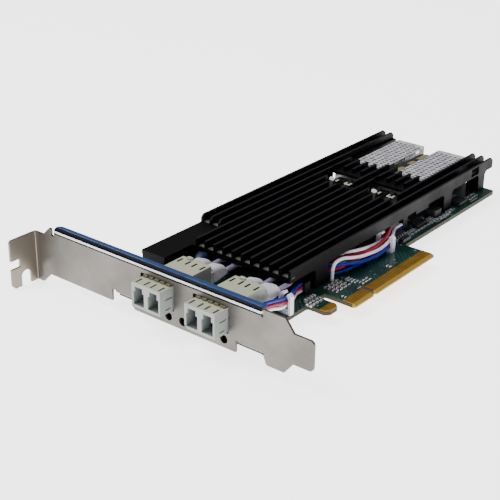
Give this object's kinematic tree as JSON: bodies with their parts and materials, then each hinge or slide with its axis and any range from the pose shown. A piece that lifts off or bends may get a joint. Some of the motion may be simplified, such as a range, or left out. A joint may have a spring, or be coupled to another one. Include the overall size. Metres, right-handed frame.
{
  "type": "network interface card",
  "caption": "Long finned card with two duplex fibre port housings in a folded steel bracket, gold edge contacts, a black heat sink on legs and coloured control wires.",
  "frame": {"origin": "middle of the edge connector's key, at the finger edge, on the component face of the board", "axes": "+X along the card away from the bracket, +Y away from the fingers, +Z out of the component face"},
  "size_m": [0.1846, 0.1201, 0.0225],
  "materials": {
    "plated_steel": "satin nickel plate",
    "blue_film": "smooth",
    "solder_mask": "satin",
    "gold_plate": "smooth",
    "black_anodised": "matt anodised",
    "screw_steel": "satin",
    "adapter_plastic": "satin",
    "spring_steel": "satin",
    "white_ceramic": "polished",
    "plug_plastic": "satin",
    "boot_rubber": "matt",
    "fibre_jacket": "satin",
    "switch_case": "satin",
    "module_metal": "satin",
    "cage_steel": "bright",
    "chip_plastic": "matt",
    "thermal_rubber": "matt",
    "nylon": "satin",
    "wire_blue": "satin",
    "wire_red": "satin",
    "wire_white": "satin",
    "wire_grey": "satin",
    "header_plastic": "matt",
    "led_lens": "clear tint",
    "capacitor_ceramic": "satin",
    "resistor_ceramic": "satin",
    "coil_ferrite": "matt"
  },
  "bodies": {
    "root": {"adapter_clip_1": "spring_steel", "adapter_clip_2": "spring_steel", "alignment_sleeves": "white_ceramic", "bracket": "plated_steel", "bracket_screws": "screw_steel", "bypass_switch_1": "switch_case", "bypass_switch_2": "switch_case", "capacitors": "capacitor_ceramic", "circuit_board": "solder_mask", "controller_chip": "chip_plastic", "edge_contacts": "gold_plate", "fibre_lead_1": "fibre_jacket", "fibre_lead_2": "fibre_jacket", "fibre_lead_3": "fibre_jacket", "fibre_lead_4": "fibre_jacket", "flange_film": "blue_film", "heat_sink": "black_anodised", "inductors": "coil_ferrite", "inner_boot_1": "boot_rubber", "inner_boot_2": "boot_rubber", "inner_boot_3": "boot_rubber", "inner_boot_4": "boot_rubber", "inner_plug_1": "plug_plastic", "inner_plug_2": "plug_plastic", "inner_plug_3": "plug_plastic", "inner_plug_4": "plug_plastic", "lc_adapter_1": "adapter_plastic", "lc_adapter_2": "adapter_plastic", "leds": "led_lens", "module_boots": "boot_rubber", "module_cage_1": "cage_steel", "module_cage_2": "cage_steel", "module_lead_1": "fibre_jacket", "module_lead_2": "fibre_jacket", "module_lead_3": "fibre_jacket", "module_lead_4": "fibre_jacket", "module_plug_1": "plug_plastic", "module_plug_2": "plug_plastic", "optical_module_1": "module_metal", "optical_module_2": "module_metal", "resistors": "resistor_ceramic", "sink_screws": "screw_steel", "small_chips": "chip_plastic", "thermal_pad": "thermal_rubber", "wire_blue_1": "wire_blue", "wire_blue_2": "wire_blue", "wire_blue_3": "wire_blue", "wire_clip_1": "nylon", "wire_clip_2": "nylon", "wire_grey_1": "wire_grey", "wire_header_1": "header_plastic", "wire_header_2": "header_plastic", "wire_header_3": "header_plastic", "wire_header_4": "header_plastic", "wire_red_1": "wire_red", "wire_red_2": "wire_red", "wire_red_3": "wire_red", "wire_white_1": "wire_white", "wire_white_2": "wire_white", "wire_white_3": "wire_white"}
  },
  "joints": []
}
